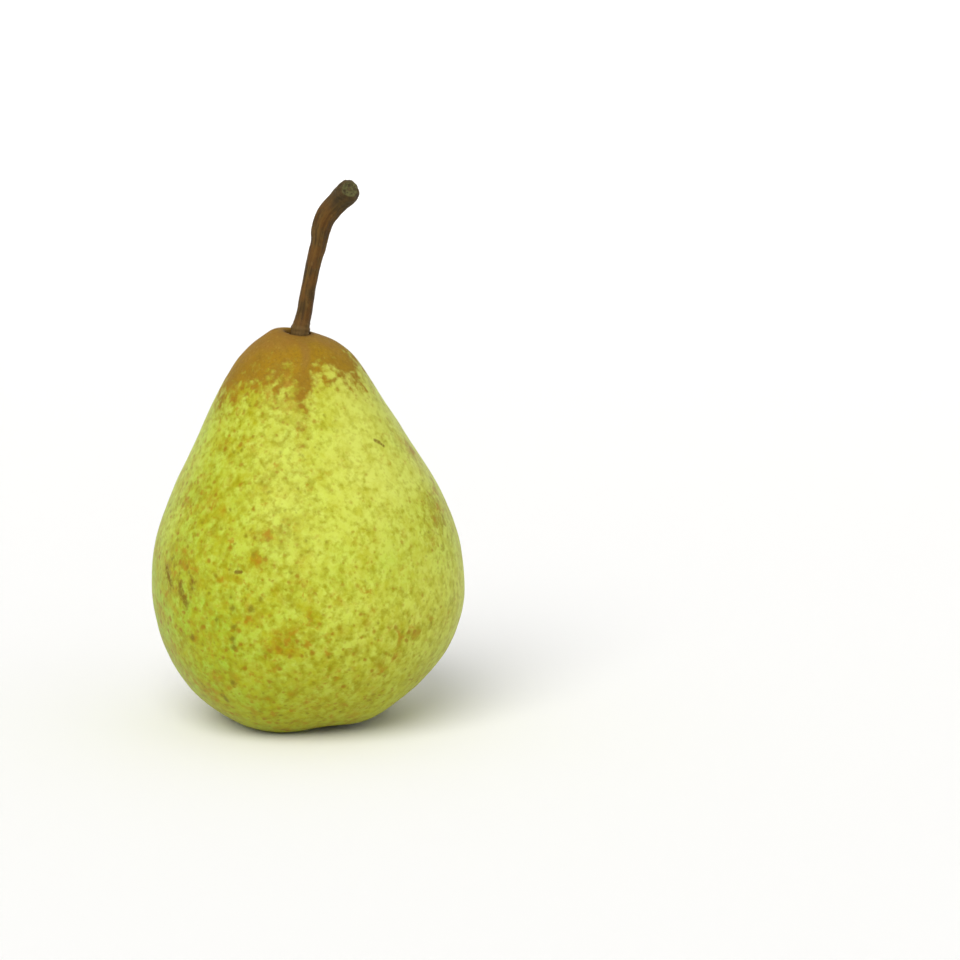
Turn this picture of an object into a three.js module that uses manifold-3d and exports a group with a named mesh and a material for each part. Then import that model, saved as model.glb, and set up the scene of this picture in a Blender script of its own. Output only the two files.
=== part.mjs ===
// A ripe European pear standing on its base: the fruit, its woody stem, and
// the dried calyx in the basin underneath (five sepals and a stamen tuft).
// Units are millimetres, +Z is up, the resting plane is z = 0.
import * as THREE from 'three';
import { mergeVertices } from 'three/addons/utils/BufferGeometryUtils.js';
import Module from 'manifold-3d';

// ---------------------------------------------------------------- dimensions
// Fruit: one row per station from the calyx pole to the stem cavity.
// [radius, height along the axis, centre x, centre y, centre z, lean in x (deg), lean in y (deg)]
const STATIONS = [
  [0.00, 7.40, 2.61, -0.52, 6.20, -8.62, 2.64],
  [3.00, 7.20, 2.64, -0.53, 5.95, -8.69, 2.66],
  [5.80, 5.60, 2.89, -0.61, 4.10, -9.28, 2.79],
  [9.53, 2.37, 3.44, -0.77, -0.04, -10.51, 2.96],
  [14.63, 3.30, 3.28, -0.72, 0.88, -10.15, 2.92],
  [18.68, 5.10, 2.97, -0.63, 2.65, -9.47, 2.82],
  [22.81, 8.16, 2.50, -0.49, 5.67, -8.34, 2.57],
  [26.93, 12.60, 1.91, -0.31, 10.06, -6.83, 2.09],
  [30.76, 18.89, 1.27, -0.12, 16.32, -5.03, 1.28],
  [33.02, 27.02, 0.68, -0.01, 24.43, -3.33, 0.35],
  [33.02, 35.47, 0.29, 0.00, 32.86, -2.20, 0.00],
  [31.79, 43.55, 0.00, 0.00, 40.94, -2.04, 0.00],
  [28.50, 51.32, -0.32, -0.03, 48.71, -2.68, -0.69],
  [24.43, 58.89, -0.68, -0.21, 56.26, -2.56, -2.16],
  [20.59, 66.02, -0.90, -0.59, 63.38, -0.59, -3.87],
  [16.96, 72.82, -0.76, -1.14, 70.15, 3.26, -5.43],
  [12.97, 79.41, -0.14, -1.83, 76.73, 8.82, -6.56],
  [9.45, 83.00, 0.72, -2.20, 80.00, 11.02, -6.90],
  [6.46, 84.90, 0.11, -2.30, 82.18, 12.82, -6.97],
  [3.16, 85.90, -1.71, -2.30, 82.98, 9.54, -8.48],
  [2.67, 84.60, -1.06, -2.20, 82.99, 5.25, -8.07],
  [1.98, 82.60, -1.19, -2.10, 79.94, 5.25, -8.07],
  [0.00, 82.00, -1.20, -2.10, 79.30, 5.25, -8.07],
];
const RINGS = 52;               // rings from the calyx to the stem cavity
const SEGMENTS = 60;            // facets round the fruit
const LOBE = 0.0173;            // five lobes round the base, share of the radius
const LOBE_AZIMUTH = -127;      // direction of the first lobe, degrees
const BASE_LEAN_X = 0.311;      // extra lift of the base rim, +X side down
const BASE_LEAN_Y = -0.196;     // the same, +Y side down
const SHOULDER_SADDLE = 0.159;  // the shoulder is a little higher left and right
const HEEL = { x: 11.5, y: 5.5, spread: 6.0, drop: 2.6 }; // low bump at the back right of the base
const REST_ROUND = 0.45;        // how gently the base turns into its resting spot
const REST_CUT = 0.30;          // how deep the resting spot is flattened
const CENTRE = { x: -0.54, y: 0.13 };  // brings the middle of the whole pear to x = y = 0

// Stem: [x, y, z, radius] from its foot inside the cavity to its swollen end.
const STEM = [
  [-1.20, -2.05, 74.60, 1.55],
  [-0.98, -2.05, 76.80, 1.72],
  [-0.80, -2.07, 79.40, 1.98],
  [-0.74, -2.10, 81.60, 2.05],
  [-0.50, -2.10, 83.10, 1.92],
  [-0.23, -2.10, 84.67, 1.78],
  [0.28, -2.10, 87.16, 1.67],
  [0.72, -2.12, 89.60, 1.61],
  [1.49, -2.20, 93.36, 1.56],
  [2.39, -2.40, 97.49, 1.62],
  [3.39, -2.70, 101.41, 1.73],
  [3.83, -3.10, 104.09, 2.04],
  [4.82, -3.60, 106.56, 2.24],
  [6.56, -4.20, 108.72, 2.27],
  [8.10, -5.00, 110.30, 2.42],
  [9.00, -6.00, 111.25, 2.52],
  [9.40, -7.00, 111.75, 2.42],
  [9.55, -7.60, 111.95, 2.05],
];
const STEM_SIDES = 14;
const STEM_RINGS = 44;
const SOCKET_GAP = 0.3;         // room between the stem's foot and the flesh round it

// Calyx: measured from the basin's pole, r outwards and drop along its axis.
const CALYX_PIT = { radius: 1.95, depth: 2.8 };
const SEPAL_AZIMUTHS = [-98, -22, 45, 121, 193];
const SEPAL_LENGTH = [1.0, 0.85, 0.7, 0.94, 1.0];
const SEPAL_DROOP = [0.3, 0.6, 0.9, 0.2, 0.0];  // how much further each sepal hangs at its tip
const TUFT_RADIUS = 1.35;
const TUFT_STRANDS = 8;

// ------------------------------------------------------------------- helpers
const wasm = await Module();
wasm.setup();

const rad = THREE.MathUtils.degToRad;
const ease = (t) => { const c = Math.min(Math.max(t, 0), 1); return c * c * (3 - 2 * c); };

// Uniform cubic B-spline through rows of numbers, u from 0 to 1.
function bspline(rows, u) {
  const spans = rows.length - 3;
  const at = Math.min(Math.max(u, 0), 1) * spans;
  const i = Math.min(Math.floor(at), spans - 1);
  const t = at - i;
  const w = [(1 - t) ** 3, 3 * t ** 3 - 6 * t * t + 4, -3 * t ** 3 + 3 * t * t + 3 * t + 1, t ** 3];
  return rows[i].map((_, k) => (w[0] * rows[i][k] + w[1] * rows[i + 1][k] + w[2] * rows[i + 2][k] + w[3] * rows[i + 3][k]) / 6);
}

function toManifold(geometry) {
  const g = new THREE.BufferGeometry();
  g.setAttribute('position', geometry.getAttribute('position').clone());
  if (geometry.index) g.setIndex(geometry.index.clone());
  const merged = mergeVertices(g, 1e-4);
  const tris = [];
  const ix = merged.index.array;
  for (let i = 0; i < ix.length; i += 3) {
    if (ix[i] !== ix[i + 1] && ix[i + 1] !== ix[i + 2] && ix[i + 2] !== ix[i]) tris.push(ix[i], ix[i + 1], ix[i + 2]);
  }
  const p = merged.getAttribute('position');
  let volume = 0;
  const a = new THREE.Vector3(), b = new THREE.Vector3(), c = new THREE.Vector3();
  for (let i = 0; i < tris.length; i += 3) {
    a.fromBufferAttribute(p, tris[i]); b.fromBufferAttribute(p, tris[i + 1]); c.fromBufferAttribute(p, tris[i + 2]);
    volume += a.dot(b.cross(c)) / 6;
  }
  if (volume < 0) for (let i = 0; i < tris.length; i += 3) [tris[i], tris[i + 1]] = [tris[i + 1], tris[i]];
  return new wasm.Manifold(new wasm.Mesh({
    numProp: 3,
    vertProperties: Float32Array.from(p.array),
    triVerts: Uint32Array.from(tris),
  }));
}

function toGeometry(solid) {
  const m = solid.getMesh();
  const g = new THREE.BufferGeometry();
  g.setAttribute('position', new THREE.BufferAttribute(Float32Array.from(m.vertProperties), 3));
  g.setIndex(Array.from(m.triVerts));
  g.computeVertexNormals();
  return g;
}

// Moves every vertex of a lathe to place(ring 0..1, angle).
function wrapLathe(profile, sides, place) {
  const g = new THREE.LatheGeometry(profile, sides);
  const p = g.getAttribute('position');
  const n = profile.length;
  for (let i = 0; i < p.count; i++) {
    const ring = i % n;
    const side = Math.floor(i / n) % sides;
    const q = place(ring, (side / sides) * 2 * Math.PI);
    p.setXYZ(i, q.x, q.y, q.z);
  }
  return g;
}

// A round or flat rod along a smooth path. sections = [x, y, z, half width, half thickness].
// The width lies along `across`, or anywhere for a round rod.
function rod(sections, sides, rings, across = new THREE.Vector3(0, 1, 0)) {
  const path = new THREE.CatmullRomCurve3(sections.map((s) => new THREE.Vector3(s[0], s[1], s[2])), false, 'centripetal');
  const n = sections.length - 1;
  const pick = (t, k) => {
    const at = t * n, i = Math.min(Math.floor(at), n - 1);
    const f = at - i;
    return sections[i][k] * (1 - f) + sections[i + 1][k] * f;
  };
  const stations = [];
  for (let i = 0; i <= rings; i++) stations.push(i / rings);
  // profile: closed on the axis at both ends, with slightly rounded ends
  const profile = [new THREE.Vector2(0, 0)];
  const ts = [0];
  stations.forEach((t, i) => {
    profile.push(new THREE.Vector2(1, i + 1));
    ts.push(t);
  });
  profile.push(new THREE.Vector2(0, rings + 2));
  ts.push(1);
  return wrapLathe(profile, sides, (ring, angle) => {
    const t = ts[ring];
    const centre = path.getPoint(t);
    const tangent = path.getTangent(t);
    const e1 = across.clone().addScaledVector(tangent, -across.dot(tangent)).normalize();
    const e2 = new THREE.Vector3().crossVectors(tangent, e1);
    const pole = ring === 0 || ring === ts.length - 1;
    const endRound = Math.min(1, 0.72 + 0.28 * Math.min(1, Math.min(ring - 1, ts.length - 2 - ring) / 1.5));
    const w = pole ? 0 : pick(t, 3) * endRound;
    const h = pole ? 0 : (sections[0].length > 4 ? pick(t, 4) : pick(t, 3)) * endRound;
    return centre.addScaledVector(e1, w * Math.cos(angle)).addScaledVector(e2, h * Math.sin(angle));
  });
}

// --------------------------------------------------------------------- fruit
// The stations' table with its end rows mirrored, so that the skin closes
// smoothly over both poles.
const mirrored = (row) => [-row[0], ...row.slice(1)];
const ROWS = [mirrored(STATIONS[1]), ...STATIONS, mirrored(STATIONS[STATIONS.length - 2])];

function frameOf(s) {
  const tx = Math.tan(rad(s[5])), ty = Math.tan(rad(s[6]));
  const up = new THREE.Vector3(tx, ty, 1).normalize();
  const e1 = new THREE.Vector3(1, 0, -tx).normalize();
  const e2 = new THREE.Vector3().crossVectors(up, e1);
  return { up, e1, e2 };
}

function skin(u, v) {
  const s = bspline(ROWS, u);
  const radius = u <= 0 || u >= 1 ? 0 : s[0];
  const h = s[1];
  const { up, e1, e2 } = frameOf(s);
  const lobes = LOBE * ease(1 - (h - 2) / 26) * ease(radius / 12) * Math.cos(5 * (v - rad(LOBE_AZIMUTH)));
  const uneven = ease(h / 20) * ease((84 - h) / 14) * (
    0.0050 * Math.cos(3 * v - 0.06 * h + 1.0)
    + 0.0040 * Math.cos(4 * v + 0.09 * h + 2.4)
    + 0.0035 * Math.cos(6 * v + 0.05 * h));
  const r = radius * (1 + lobes + uneven);
  const base = ease(1 - (h - 3) / 15) * ease(radius / 8);
  const lift = -base * (LOBE * 22 * Math.cos(5 * (v - rad(LOBE_AZIMUTH))) + BASE_LEAN_X * Math.cos(v) + BASE_LEAN_Y * Math.sin(v))
    + SHOULDER_SADDLE * ease((h - 66) / 18) * ease(radius / 9) * Math.cos(2 * v);
  const p = new THREE.Vector3(s[2], s[3], s[4])
    .addScaledVector(e1, r * Math.cos(v))
    .addScaledVector(e2, r * Math.sin(v))
    .addScaledVector(up, lift);
  const d2 = (p.x - HEEL.x) ** 2 + (p.y - HEEL.y) ** 2;
  p.z -= HEEL.drop * Math.exp(-d2 / (2 * HEEL.spread ** 2)) * ease(1 - (p.z - 1) / 9);
  p.z = (p.z + Math.sqrt(p.z * p.z + 4 * REST_ROUND * REST_ROUND)) / 2 - REST_CUT;
  return p;
}

const fruitProfile = [];
for (let i = 0; i <= RINGS; i++) fruitProfile.push(new THREE.Vector2(i === 0 || i === RINGS ? 0 : 1, i));
const fruitSkin = wrapLathe(fruitProfile, SEGMENTS, (ring, angle) => skin(ring / RINGS, angle));

// What lies below the resting plane is cut away, which leaves the flat spot.
const floorBlock = new THREE.BoxGeometry(120, 120, 20).translate(0, 0, -10);

// Socket for the stem's foot, wider than the foot by the gap.
const stemDir = new THREE.Vector3(STEM[2][0] - STEM[0][0], STEM[2][1] - STEM[0][1], STEM[2][2] - STEM[0][2]).normalize();
const socketBottom = new THREE.Vector3(...STEM[0].slice(0, 3)).addScaledVector(stemDir, -SOCKET_GAP - 0.1);
const socketR = 2.06 + SOCKET_GAP;
const socket = new THREE.LatheGeometry([
  new THREE.Vector2(0, 0), new THREE.Vector2(socketR, 0), new THREE.Vector2(socketR, 9), new THREE.Vector2(0, 9),
], 20);
socket.applyQuaternion(new THREE.Quaternion().setFromUnitVectors(new THREE.Vector3(0, 1, 0), stemDir));
socket.translate(socketBottom.x, socketBottom.y, socketBottom.z);

// Calyx pit under the fruit.
const basinPole = skin(0, 0);
const basin = frameOf(STATIONS[0]);
const calyxPoint = (r, azimuth, drop) => basinPole.clone()
  .addScaledVector(basin.e1, r * Math.cos(azimuth))
  .addScaledVector(basin.e2, r * Math.sin(azimuth))
  .addScaledVector(basin.up, -drop);
const pit = new THREE.LatheGeometry([
  new THREE.Vector2(0, -2), new THREE.Vector2(CALYX_PIT.radius, -2),
  new THREE.Vector2(CALYX_PIT.radius * 0.9, CALYX_PIT.depth - 0.4),
  new THREE.Vector2(CALYX_PIT.radius * 0.6, CALYX_PIT.depth), new THREE.Vector2(0, CALYX_PIT.depth),
], 18);
pit.applyQuaternion(new THREE.Quaternion().setFromUnitVectors(new THREE.Vector3(0, 1, 0), basin.up));
pit.translate(basinPole.x, basinPole.y, basinPole.z);

const fruitSolid = toManifold(fruitSkin)
  .subtract(toManifold(floorBlock))
  .subtract(toManifold(socket))
  .subtract(toManifold(pit));

// ---------------------------------------------------------------------- stem
const stemGeometry = rod(STEM, STEM_SIDES, STEM_RINGS);

// -------------------------------------------------------------------- sepals
function sepalGeometry(index) {
  const a = rad(SEPAL_AZIMUTHS[index]);
  const k = SEPAL_LENGTH[index];
  const line = [
    [2.35, 0.95, 1.05, 0.34],
    [3.20, 1.25, 1.25, 0.36],
    [4.20, 1.85, 1.15, 0.32],
    [5.20, 2.70, 0.85, 0.26],
    [6.00, 3.35, 0.50, 0.20],
    [6.55, 3.60, 0.22, 0.14],
  ];
  const sections = line.map(([r, drop, w, t]) => {
    const out = (r - 2.35) * k;
    const p = calyxPoint(2.35 + out, a, drop + SEPAL_DROOP[index] * ease(out / 3));
    return [p.x, p.y, p.z, w, t];
  });
  const across = basin.e1.clone().multiplyScalar(-Math.sin(a)).addScaledVector(basin.e2, Math.cos(a));
  return rod(sections, 10, 12, across);
}

// --------------------------------------------------------------- stamen tuft
// A plug in the calyx pit that carries short dried filaments.
function tuftSolid() {
  const plug = new THREE.LatheGeometry([
    new THREE.Vector2(0, -0.55), new THREE.Vector2(TUFT_RADIUS * 0.8, -0.5), new THREE.Vector2(TUFT_RADIUS, -0.1),
    new THREE.Vector2(TUFT_RADIUS * 0.9, 1.4), new THREE.Vector2(0, 1.6),
  ], 14);
  plug.applyQuaternion(new THREE.Quaternion().setFromUnitVectors(new THREE.Vector3(0, 1, 0), basin.up));
  plug.translate(basinPole.x, basinPole.y, basinPole.z);
  let solid = toManifold(plug);
  for (let i = 0; i < TUFT_STRANDS; i++) {
    const a = (i / TUFT_STRANDS) * 2 * Math.PI + 0.3 * Math.sin(i * 2.3);
    const r0 = i % 2 ? 0.85 : 0.45;
    const tip = 2.1 + 0.5 * Math.sin(i * 1.7);
    const sections = [
      [r0, 0.0, 0.17], [r0 * 1.05, 0.8, 0.16], [r0 * 1.2, 1.5, 0.15], [r0 * 1.35 + 0.1 * Math.cos(i * 3.1), tip, 0.19],
    ].map(([r, drop, w]) => {
      const p = calyxPoint(r, a + 0.12 * drop * Math.sin(i), drop);
      return [p.x, p.y, p.z, w];
    });
    solid = solid.add(toManifold(rod(sections, 6, 6, basin.e1)));
  }
  return solid;
}

// ------------------------------------------------------------------ assembly
const skinMaterial = new THREE.MeshStandardMaterial({ color: new THREE.Color(0.66, 0.7, 0.16), roughness: 0.5, metalness: 0 });
const stemMaterial = new THREE.MeshStandardMaterial({ color: new THREE.Color(0.33, 0.22, 0.11), roughness: 0.8, metalness: 0 });
const sepalMaterial = new THREE.MeshStandardMaterial({ color: new THREE.Color(0.13, 0.09, 0.06), roughness: 0.9, metalness: 0 });
const tuftMaterial = new THREE.MeshStandardMaterial({ color: new THREE.Color(0.16, 0.11, 0.07), roughness: 0.95, metalness: 0 });

const pear = new THREE.Group();
function put(name, geometry, material) {
  const mesh = new THREE.Mesh(geometry, material);
  mesh.name = name;
  pear.add(mesh);
}
put('fruit', toGeometry(fruitSolid), skinMaterial);
put('stem', toGeometry(toManifold(stemGeometry)), stemMaterial);
for (let i = 0; i < SEPAL_AZIMUTHS.length; i++) {
  put(`sepal_${i + 1}`, toGeometry(toManifold(sepalGeometry(i))), sepalMaterial);
}
put('stamen_tuft', toGeometry(tuftSolid()), tuftMaterial);
pear.position.set(CENTRE.x, CENTRE.y, 0);

export default pear;
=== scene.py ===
import math

import bpy
import numpy as np
from mathutils import Matrix, Vector


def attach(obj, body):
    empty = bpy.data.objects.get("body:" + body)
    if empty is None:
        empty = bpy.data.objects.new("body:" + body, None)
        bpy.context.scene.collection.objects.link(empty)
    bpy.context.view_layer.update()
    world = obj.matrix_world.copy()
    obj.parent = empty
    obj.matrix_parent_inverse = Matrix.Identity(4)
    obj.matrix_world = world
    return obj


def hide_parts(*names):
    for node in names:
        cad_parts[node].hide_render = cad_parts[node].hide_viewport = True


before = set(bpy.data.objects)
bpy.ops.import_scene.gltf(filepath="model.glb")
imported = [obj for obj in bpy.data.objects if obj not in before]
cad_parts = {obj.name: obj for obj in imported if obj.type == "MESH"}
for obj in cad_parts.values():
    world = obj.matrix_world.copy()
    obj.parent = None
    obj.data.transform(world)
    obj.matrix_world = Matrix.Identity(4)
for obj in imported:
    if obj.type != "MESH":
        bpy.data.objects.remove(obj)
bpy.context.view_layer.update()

MM = 0.001

# ------------------------------------------------------------------ the shape
# One row per station from the calyx pole to the stem cavity, as in the CAD:
# radius, height along the axis, centre x, y, z, lean in x, lean in y (deg).
STATIONS = np.array([
    [0.00, 7.40, 2.61, -0.52, 6.20, -8.62, 2.64],
    [3.00, 7.20, 2.64, -0.53, 5.95, -8.69, 2.66],
    [5.80, 5.60, 2.89, -0.61, 4.10, -9.28, 2.79],
    [9.53, 2.37, 3.44, -0.77, -0.04, -10.51, 2.96],
    [14.63, 3.30, 3.28, -0.72, 0.88, -10.15, 2.92],
    [18.68, 5.10, 2.97, -0.63, 2.65, -9.47, 2.82],
    [22.81, 8.16, 2.50, -0.49, 5.67, -8.34, 2.57],
    [26.93, 12.60, 1.91, -0.31, 10.06, -6.83, 2.09],
    [30.76, 18.89, 1.27, -0.12, 16.32, -5.03, 1.28],
    [33.02, 27.02, 0.68, -0.01, 24.43, -3.33, 0.35],
    [33.02, 35.47, 0.29, 0.00, 32.86, -2.20, 0.00],
    [31.79, 43.55, 0.00, 0.00, 40.94, -2.04, 0.00],
    [28.50, 51.32, -0.32, -0.03, 48.71, -2.68, -0.69],
    [24.43, 58.89, -0.68, -0.21, 56.26, -2.56, -2.16],
    [20.59, 66.02, -0.90, -0.59, 63.38, -0.59, -3.87],
    [16.96, 72.82, -0.76, -1.14, 70.15, 3.26, -5.43],
    [12.97, 79.41, -0.14, -1.83, 76.73, 8.82, -6.56],
    [9.45, 83.00, 0.72, -2.20, 80.00, 11.02, -6.90],
    [6.46, 84.90, 0.11, -2.30, 82.18, 12.82, -6.97],
    [3.16, 85.90, -1.71, -2.30, 82.98, 9.54, -8.48],
    [2.67, 84.60, -1.06, -2.20, 82.99, 5.25, -8.07],
    [1.98, 82.60, -1.19, -2.10, 79.94, 5.25, -8.07],
    [0.00, 82.00, -1.20, -2.10, 79.30, 5.25, -8.07],
])
LOBE, LOBE_AZIMUTH = 0.0173, math.radians(-127)
BASE_LEAN = (0.311, -0.196)
SADDLE = 0.159
HEEL = (11.5, 5.5, 6.0, 2.6)
REST_ROUND, REST_CUT = 0.45, 0.30
CENTRE = np.array([-0.54, 0.13, 0.0])

STEM = np.array([
    [-1.20, -2.05, 74.60, 1.55],
    [-0.98, -2.05, 76.80, 1.72],
    [-0.80, -2.07, 79.40, 1.98],
    [-0.74, -2.10, 81.60, 2.05],
    [-0.50, -2.10, 83.10, 1.92],
    [-0.23, -2.10, 84.67, 1.78],
    [0.28, -2.10, 87.16, 1.67],
    [0.72, -2.12, 89.60, 1.61],
    [1.49, -2.20, 93.36, 1.56],
    [2.39, -2.40, 97.49, 1.62],
    [3.39, -2.70, 101.41, 1.73],
    [3.83, -3.10, 104.09, 2.04],
    [4.82, -3.60, 106.56, 2.24],
    [6.56, -4.20, 108.72, 2.27],
    [8.10, -5.00, 110.30, 2.42],
    [9.00, -6.00, 111.25, 2.52],
    [9.40, -7.00, 111.75, 2.42],
    [9.55, -7.60, 111.95, 2.05],
])


def ease(t):
    t = np.clip(t, 0.0, 1.0)
    return t * t * (3 - 2 * t)


# ----------------------------------------------------------- seeded 3D noise
class Noise:
    def __init__(self, seed):
        rng = np.random.RandomState(seed)
        self.perm = np.concatenate([rng.permutation(256)] * 3)
        g = rng.normal(size=(256, 3))
        self.grad = g / np.linalg.norm(g, axis=1)[:, None]

    def __call__(self, p):
        p = np.asarray(p, float)
        i = np.floor(p).astype(int)
        f = p - i
        w = f * f * f * (f * (f * 6 - 15) + 10)
        i &= 255
        out = 0.0
        for dx in (0, 1):
            for dy in (0, 1):
                for dz in (0, 1):
                    h = self.perm[self.perm[self.perm[i[..., 0] + dx] + i[..., 1] + dy] + i[..., 2] + dz]
                    d = f - np.array([dx, dy, dz])
                    k = ((w[..., 0] if dx else 1 - w[..., 0])
                         * (w[..., 1] if dy else 1 - w[..., 1])
                         * (w[..., 2] if dz else 1 - w[..., 2]))
                    out = out + k * (self.grad[h] * d).sum(-1)
        return out * 1.6

    def fbm(self, p, octaves=3, gain=0.5):
        total, amp = 0.0, 1.0
        p = np.asarray(p, float)
        for k in range(octaves):
            total = total + amp * self(p * (2.03 ** k) + 17.3 * k)
            amp *= gain
        return total


# ------------------------------------------------------------------ mesh tools
def add_float(mesh, name, values):
    a = mesh.attributes.new(name, "FLOAT", "POINT")
    a.data.foreach_set("value", np.ascontiguousarray(values, dtype=np.float32).ravel())


def add_vector(mesh, name, values):
    a = mesh.attributes.new(name, "FLOAT_VECTOR", "POINT")
    a.data.foreach_set("vector", np.ascontiguousarray(values, dtype=np.float32).ravel())


def closed_grid(name, P, uv_rows=None):
    """A closed skin from rings of points (S, V, 3) in mm. The first and the last
    ring are poles. Returns the object and the picker that turns a (S, V) field
    into one value per vertex."""
    S, V, _ = P.shape
    verts = np.concatenate([P[0, :1], P[1:-1].reshape(-1, 3), P[-1, :1]]) * MM
    last = len(verts) - 1
    ring = lambda i: 1 + (i - 1) * V
    j = np.arange(V)
    k = (j + 1) % V
    tri0 = np.stack([np.zeros(V, int), ring(1) + k, ring(1) + j], 1)
    tri1 = np.stack([np.full(V, last), ring(S - 2) + j, ring(S - 2) + k], 1)
    quads = []
    for i in range(1, S - 2):
        a, b = ring(i), ring(i + 1)
        quads.append(np.stack([a + j, a + k, b + k, b + j], 1))
    quads = np.concatenate(quads)
    # outward faces: the sign of the volume of the quads' cones from the middle
    mid = verts.mean(0)
    q = verts[quads] - mid
    flip = np.einsum("ij,ij->i", q[:, 0], np.cross(q[:, 1], q[:, 2])).sum() < 0
    if flip:
        tri0, tri1, quads = tri0[:, ::-1], tri1[:, ::-1], quads[:, ::-1]
    loops = np.concatenate([tri0.ravel(), tri1.ravel(), quads.ravel()])
    totals = np.concatenate([np.full(2 * V, 3), np.full(len(quads), 4)])
    starts = np.concatenate([[0], np.cumsum(totals)[:-1]])
    mesh = bpy.data.meshes.new(name)
    mesh.vertices.add(len(verts))
    mesh.vertices.foreach_set("co", verts.astype(np.float32).ravel())
    mesh.loops.add(len(loops))
    mesh.loops.foreach_set("vertex_index", loops.astype(np.int32))
    mesh.polygons.add(len(totals))
    mesh.polygons.foreach_set("loop_start", starts.astype(np.int32))
    mesh.polygons.foreach_set("loop_total", totals.astype(np.int32))
    mesh.polygons.foreach_set("use_smooth", np.ones(len(totals), bool))
    mesh.update(calc_edges=True)
    mesh.validate()
    if uv_rows is not None:
        # a plain wrap: round the axis across, from pole to pole upwards
        u0, u1 = j / V, (j + 1) / V
        v = np.asarray(uv_rows)
        def tri_uv(row, pole, a, b):
            t = np.zeros((V, 3, 2))
            t[:, 0] = np.stack([(u0 + u1) / 2, np.full(V, v[pole])], 1)
            t[:, 1] = np.stack([a, np.full(V, v[row])], 1)
            t[:, 2] = np.stack([b, np.full(V, v[row])], 1)
            return t
        t0 = tri_uv(1, 0, u1, u0)
        t1 = tri_uv(S - 2, S - 1, u0, u1)
        tq = []
        for i in range(1, S - 2):
            t = np.zeros((V, 4, 2))
            t[:, 0] = np.stack([u0, np.full(V, v[i])], 1)
            t[:, 1] = np.stack([u1, np.full(V, v[i])], 1)
            t[:, 2] = np.stack([u1, np.full(V, v[i + 1])], 1)
            t[:, 3] = np.stack([u0, np.full(V, v[i + 1])], 1)
            tq.append(t)
        tq = np.concatenate(tq)
        if flip:
            t0, t1, tq = t0[:, ::-1], t1[:, ::-1], tq[:, ::-1]
        layer = mesh.uv_layers.new(name="OFBake")
        flat = np.concatenate([t0.reshape(-1, 2), t1.reshape(-1, 2), tq.reshape(-1, 2)])
        layer.data.foreach_set("uv", (flat * 0.996 + 0.002).astype(np.float32).ravel())
    ob = bpy.data.objects.new(name, mesh)
    bpy.context.scene.collection.objects.link(ob)

    def per_vertex(field):
        field = np.asarray(field, float)
        return np.concatenate([field[0, :1], field[1:-1].reshape(-1, *field.shape[2:]), field[-1, :1]])

    return ob, per_vertex


def grid_normals(P):
    du = np.gradient(P, axis=0)
    dv = np.roll(P, -1, axis=1) - np.roll(P, 1, axis=1)
    n = np.cross(dv, du)
    length = np.linalg.norm(n, axis=-1, keepdims=True)
    n = n / np.maximum(length, 1e-12)
    mid = P.reshape(-1, 3).mean(0)
    if ((P - mid) * n).sum() < 0:
        n = -n
    n[0] = n[1].mean(0)
    n[-1] = n[-2].mean(0)
    return n / np.maximum(np.linalg.norm(n, axis=-1, keepdims=True), 1e-12)


def bspline(rows, u):
    spans = len(rows) - 3
    at = np.clip(u, 0, 1) * spans
    i = np.minimum(at.astype(int), spans - 1)
    t = (at - i)[:, None]
    return ((1 - t) ** 3 * rows[i] + (3 * t ** 3 - 6 * t * t + 4) * rows[i + 1]
            + (-3 * t ** 3 + 3 * t * t + 3 * t + 1) * rows[i + 2] + t ** 3 * rows[i + 3]) / 6


def frames_of(rows):
    tx, ty = np.tan(np.radians(rows[:, 5])), np.tan(np.radians(rows[:, 6]))
    up = np.stack([tx, ty, np.ones_like(tx)], 1)
    up /= np.linalg.norm(up, axis=1)[:, None]
    e1 = np.stack([np.ones_like(tx), np.zeros_like(tx), -tx], 1)
    e1 /= np.linalg.norm(e1, axis=1)[:, None]
    return up, e1, np.cross(up, e1)


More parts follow.
